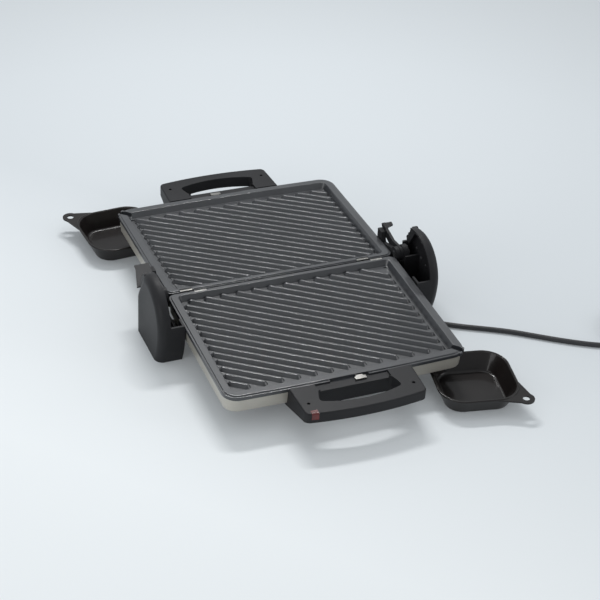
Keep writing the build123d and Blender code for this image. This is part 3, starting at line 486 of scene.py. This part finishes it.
def make_gland_rings():
    _, exit_y, exit_z = CORD_ROUTE_MM[0]
    build = bmesh.new()
    for k in range(GLAND_RINGS):
        share = (k + GLAND_FIRST_RING) / GLAND_RINGS
        x = GLAND_START_MM + (GLAND_END_MM - GLAND_START_MM) * share
        radius = GLAND_START_RADIUS_MM + (GLAND_END_RADIUS_MM - GLAND_START_RADIUS_MM) * share
        path = []
        for j in range(RING_SIDES):
            angle = 2 * math.pi * j / RING_SIDES
            y = exit_y + radius * math.cos(angle)
            z = exit_z + radius * math.sin(angle)
            path.append(from_hinge_mm((x, y, z)))
        add_tube(build, path, GLAND_BEAD_RADIUS, GLAND_BEAD_SIDES)
    finish_mesh("gland_rings", build, "base", "rubber")


make_gland_rings()


# Rivets in the hollows of the towers

SHELL_X_MM = 184.5
RIVET_HEIGHT = 0.0012
RIVETS_MM = [
    {"y": -45.0, "z": 76.5, "radius": 3.0},
    {"y": -60.0, "z": 74.0, "radius": 2.2},
    {"y": -30.0, "z": 84.0, "radius": 2.2},
]


def make_tower_rivets():
    for name, side in (("right_tower_rivets", 1), ("left_tower_rivets", -1)):
        build = bmesh.new()
        inward = Vector((-side, 0.0, 0.0))
        for rivet in RIVETS_MM:
            place = from_hinge_mm((side * SHELL_X_MM, rivet["y"], rivet["z"]))
            add_dome(build, place, inward, rivet["radius"] / 1000, RIVET_HEIGHT)
        finish_mesh(name, build, "base", "black_plastic")


make_tower_rivets()


# Table: painted light makes it paler towards the near left, and it is lit by its own share far from
# the grill

TABLE_HALF = 6.0
TABLE_ROUGHNESS = 0.9
TABLE_SHINE = 0.1
TABLE_PAINTED_SHADE_FAR = (0.57, 0.602, 0.625)
TABLE_PAINTED_LIGHT_NEAR = (0.78, 0.81, 0.825)
PAINTED_LIGHT_DIRECTION = (-0.75, -0.66, 0.0)
PAINTED_LIGHT_START = -0.15
PAINTED_LIGHT_END = 0.40
OWN_SHARE = 0.12
OWN_SHARE_START = 0.8
OWN_SHARE_END = 2.4
SEEN_RAYS = ("Is Camera Ray", "Is Glossy Ray", "Is Transmission Ray")


# Painted light on the table: its colour runs from a darker far tone to a paler near-left tone,
# standing in for the light that falls there
def table_painted_light_colour(tree):
    slope = combine(tree, "ShaderNodeVectorMath", "DOT_PRODUCT", object_point(tree))
    slope.inputs[1].default_value = PAINTED_LIGHT_DIRECTION
    share = span(tree, slope.outputs["Value"], 0.0, 1.0, PAINTED_LIGHT_START, PAINTED_LIGHT_END)
    return ramp(tree, share, [(0.0, TABLE_PAINTED_SHADE_FAR), (1.0, TABLE_PAINTED_LIGHT_NEAR)])


def table_own_share(tree):
    """Own light counts only for rays that show the table, so it lights nothing."""
    rays = tree.nodes.new("ShaderNodeLightPath")
    seen = rays.outputs[SEEN_RAYS[0]]
    for ray in SEEN_RAYS[1:]:
        seen = combine(tree, "ShaderNodeMath", "MAXIMUM", seen, rays.outputs[ray]).outputs[0]
    reach = combine(tree, "ShaderNodeVectorMath", "LENGTH", object_point(tree)).outputs["Value"]
    share = span(tree, reach, OWN_SHARE, 1.0, OWN_SHARE_START, OWN_SHARE_END)
    return combine(tree, "ShaderNodeMath", "MULTIPLY", seen, share).outputs[0]


def table_material():
    material, tree, shader = new_material("table")
    shader.inputs["Roughness"].default_value = TABLE_ROUGHNESS
    shader.inputs["Specular IOR Level"].default_value = TABLE_SHINE
    colour = table_painted_light_colour(tree)
    own = tree.nodes.new("ShaderNodeEmission")
    tree.links.new(colour, shader.inputs["Base Color"])
    tree.links.new(colour, own.inputs["Color"])
    mix = tree.nodes.new("ShaderNodeMixShader")
    tree.links.new(table_own_share(tree), mix.inputs[0])
    tree.links.new(shader.outputs[0], mix.inputs[1])
    tree.links.new(own.outputs[0], mix.inputs[2])
    tree.links.new(mix.outputs[0], tree.nodes["Material Output"].inputs["Surface"])
    return material


def make_table():
    mesh = bpy.data.meshes.new("table")
    corners = [(x * TABLE_HALF, y * TABLE_HALF, 0.0) for x, y in ((-1, -1), (1, -1), (1, 1), (-1, 1))]
    mesh.from_pydata(corners, [], [(0, 1, 2, 3)])
    mesh.materials.append(table_material())
    table = bpy.data.objects.new("table", mesh)
    scene.collection.objects.link(table)


# Light

SKY_COLOUR = (0.93, 0.97, 1.0, 1.0)
SKY_STRENGTH = 0.62
AIM = Vector((0.0, 0.0, 0.03))


def make_area(name, place, size, energy):
    data = bpy.data.lights.new(name, "AREA")
    data.shape = "RECTANGLE"
    data.size, data.size_y = size
    data.energy = energy
    lamp = bpy.data.objects.new(name, data)
    lamp.location = place
    lamp.rotation_euler = (AIM - Vector(place)).to_track_quat("-Z", "Y").to_euler()
    scene.collection.objects.link(lamp)


def make_world():
    world = bpy.data.worlds.new("studio")
    world.use_nodes = True
    background = world.node_tree.nodes["Background"]
    background.inputs["Color"].default_value = SKY_COLOUR
    background.inputs["Strength"].default_value = SKY_STRENGTH
    scene.world = world


make_table()
make_world()
make_area("back_softbox", place=(0.20, 0.85, 1.45), size=(0.75, 0.12), energy=16.0)
make_area("overhead_softbox", place=(0.10, 0.05, 1.7), size=(0.7, 0.7), energy=2.0)
make_area("right_softbox", place=(1.5, -1.0, 0.75), size=(0.8, 0.6), energy=4.0)
make_area("left_softbox", place=(-1.8, -0.9, 0.7), size=(1.2, 0.8), energy=8.0)
